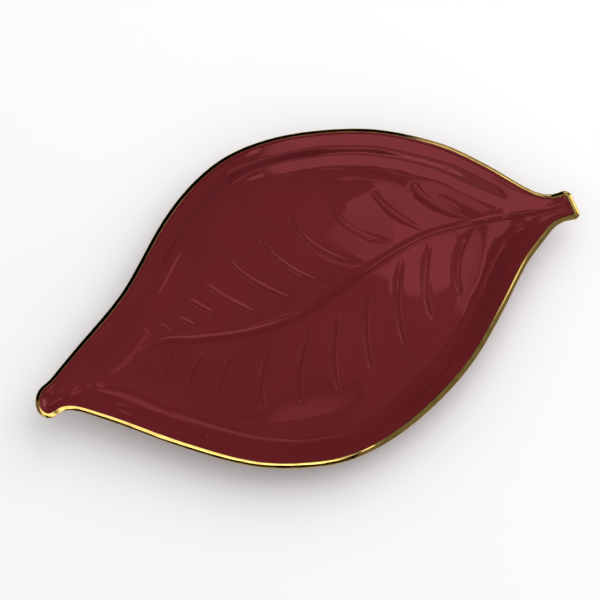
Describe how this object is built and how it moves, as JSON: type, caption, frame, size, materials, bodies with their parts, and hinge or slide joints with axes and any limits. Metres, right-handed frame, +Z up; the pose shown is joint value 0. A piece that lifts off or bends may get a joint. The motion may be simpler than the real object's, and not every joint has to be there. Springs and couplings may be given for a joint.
{
  "type": "ceramic tray",
  "caption": "Shallow leaf-shaped ceramic tray with incised veins, raised curved wall, gilded lip, open stem channel and oval foot ring, for serving or holding small things.",
  "frame": {"origin": "on the table under the middle of the leaf's outline box", "axes": "+X along the leaf from its tip to its stem, +Y to the left of that, +Z up out of the dish"},
  "size_m": [0.2998, 0.1802, 0.0239],
  "materials": {
    "clay": "bare fired clay, matt",
    "glaze": "burgundy glaze, glossy",
    "gold": "gold lustre, polished"
  },
  "bodies": {
    "root": {"clay_body": "clay", "foot_ring": "clay", "glaze_coat": "glaze", "recess_glaze": "glaze", "gold_rim": "gold"}
  },
  "joints": []
}
